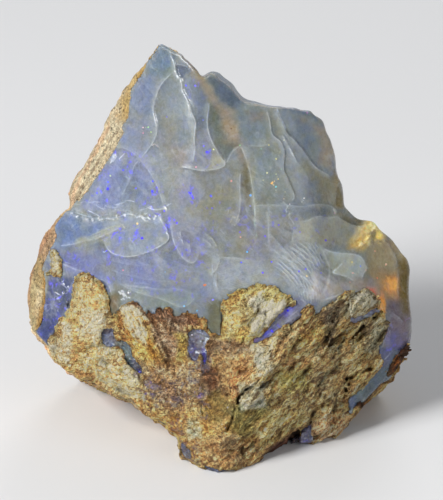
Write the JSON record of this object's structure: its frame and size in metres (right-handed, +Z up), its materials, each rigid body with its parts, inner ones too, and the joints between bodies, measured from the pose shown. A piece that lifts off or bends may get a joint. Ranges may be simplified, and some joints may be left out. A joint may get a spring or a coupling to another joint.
{
  "type": "rough opal",
  "caption": "Broken piece of rough precious opal with conchoidal faces, thin translucent edges and sandy host rock left on its lower front, standing on a flat underside.",
  "frame": {"origin": "centre of the bounding box's underside, on the surface the stone stands on", "axes": "+Z up from the resting face to the pointed top, -Y towards the broken opal face and host rock that are seen in front, +X to the right of that face"},
  "size_m": [0.0692, 0.039, 0.0714],
  "materials": {
    "opal": "glossy",
    "host_rock": "matte"
  },
  "bodies": {
    "root": {"rough_opal": "opal"}
  },
  "joints": []
}
